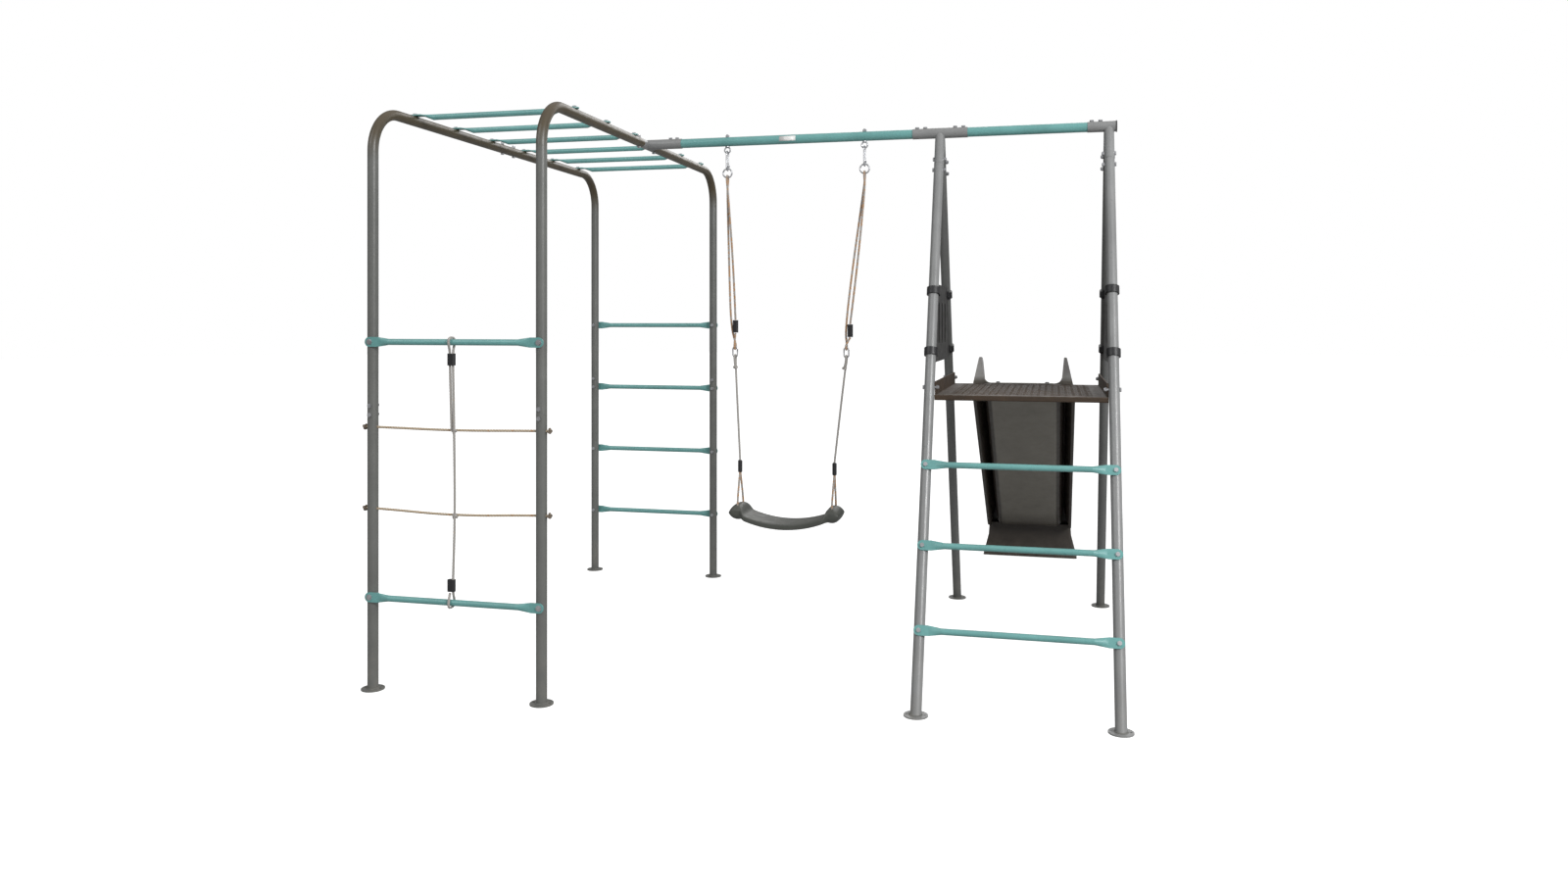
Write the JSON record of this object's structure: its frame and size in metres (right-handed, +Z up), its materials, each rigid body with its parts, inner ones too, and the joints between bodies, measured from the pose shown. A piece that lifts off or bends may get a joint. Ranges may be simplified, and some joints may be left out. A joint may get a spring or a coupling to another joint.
{
  "type": "garden climbing frame",
  "caption": "Tubular play frame: monkey bars with a rope net and a ladder, a swing on a cross beam, and an A-frame tower with steps, a deck and a slide.",
  "frame": {"origin": "on the ground, under the middle of the footprint", "axes": "+X along the swing beam from the monkey bars to the tower, +Y from the net and steps at the front to the ladder and slide at the back, +Z up"},
  "size_m": [2.4313, 2.7342, 1.9285],
  "materials": {
    "post_paint": "powder-coated, satin",
    "rail_paint": "powder-coated, satin",
    "tower_paint": "powder-coated, satin",
    "teal_paint": "powder-coated, satin",
    "zinc": "zinc-plated",
    "black_plastic": "moulded, fine grain",
    "guard_plastic": "moulded, fine grain",
    "deck_plastic": "moulded, fine grain",
    "slide_plastic": "moulded, smooth",
    "seat_plastic": "moulded, fine grain",
    "tan_rope": "braided",
    "grey_rope": "braided"
  },
  "bodies": {
    "frame": {"beam_end_cap": "black_plastic", "deck": "deck_plastic", "end_coupler": "tower_paint", "eye_bolts": "zinc", "frame_bolts": "zinc", "guard_clamps": "black_plastic", "joint_inserts": "zinc", "ladder_rung_1": "teal_paint", "ladder_rung_2": "teal_paint", "ladder_rung_3": "teal_paint", "ladder_rung_4": "teal_paint", "lower_post_left_back": "post_paint", "lower_post_left_front": "post_paint", "lower_post_right_back": "post_paint", "lower_post_right_front": "post_paint", "monkey_rung_1": "teal_paint", "monkey_rung_2": "teal_paint", "monkey_rung_3": "teal_paint", "monkey_rung_4": "teal_paint", "monkey_rung_5": "teal_paint", "monkey_rung_6": "teal_paint", "net_bar_bottom": "teal_paint", "net_bar_top": "teal_paint", "net_clamps": "black_plastic", "net_rope_lower": "tan_rope", "net_rope_upper": "tan_rope", "net_rope_vertical": "grey_rope", "rail_tee": "tower_paint", "rung_bolts": "zinc", "side_guard_inner": "guard_plastic", "side_guard_outer": "guard_plastic", "slide": "slide_plastic", "swing_beam": "teal_paint", "tower_beam": "teal_paint", "tower_leg_inner_back": "tower_paint", "tower_leg_inner_front": "tower_paint", "tower_leg_outer_back": "tower_paint", "tower_leg_outer_front": "tower_paint", "tower_step_1": "teal_paint", "tower_step_2": "teal_paint", "tower_step_3": "teal_paint", "tower_tee": "tower_paint", "upper_frame_left_back": "rail_paint", "upper_frame_left_front": "rail_paint", "upper_frame_right_back": "rail_paint", "upper_frame_right_front": "rail_paint"},
    "gate_left": {"hook_gate_left": "zinc"},
    "gate_right": {"hook_gate_right": "zinc"},
    "upper_swing": {"snap_hooks": "zinc", "swing_rings": "zinc", "rope_adjusters": "black_plastic", "rope_links": "zinc", "swing_rope_upper_left": "grey_rope", "swing_rope_upper_right": "grey_rope"},
    "lower_swing": {"swing_seat": "seat_plastic", "rope_crimps": "black_plastic", "seat_loop_left": "grey_rope", "seat_loop_right": "grey_rope", "swing_rope_lower_left": "grey_rope", "swing_rope_lower_right": "grey_rope"}
  },
  "joints": [
    {"name": "swing_hinge", "type": "hinge", "parent": "frame", "child": "upper_swing", "pos_m": [0, -0.4075, 1.8565], "axis": [1, 0, 0], "range_deg": [-60, 60]},
    {"name": "link_hinge", "type": "hinge", "parent": "upper_swing", "child": "lower_swing", "pos_m": [0, -0.4075, 1.066], "axis": [1, 0, 0], "range_deg": [-25, 25]},
    {"name": "gate_hinge_left", "type": "hinge", "parent": "upper_swing", "child": "gate_left", "pos_m": [-0.2435, -0.3955, 1.806], "axis": [1, 0, 0], "range_deg": [0, 20], "stiffness_Nm_per_rad": 0.02, "springref_deg": -5.73},
    {"name": "gate_hinge_right", "type": "hinge", "parent": "upper_swing", "child": "gate_right", "pos_m": [0.2945, -0.3955, 1.806], "axis": [1, 0, 0], "range_deg": [0, 20], "stiffness_Nm_per_rad": 0.02, "springref_deg": -5.73}
  ]
}
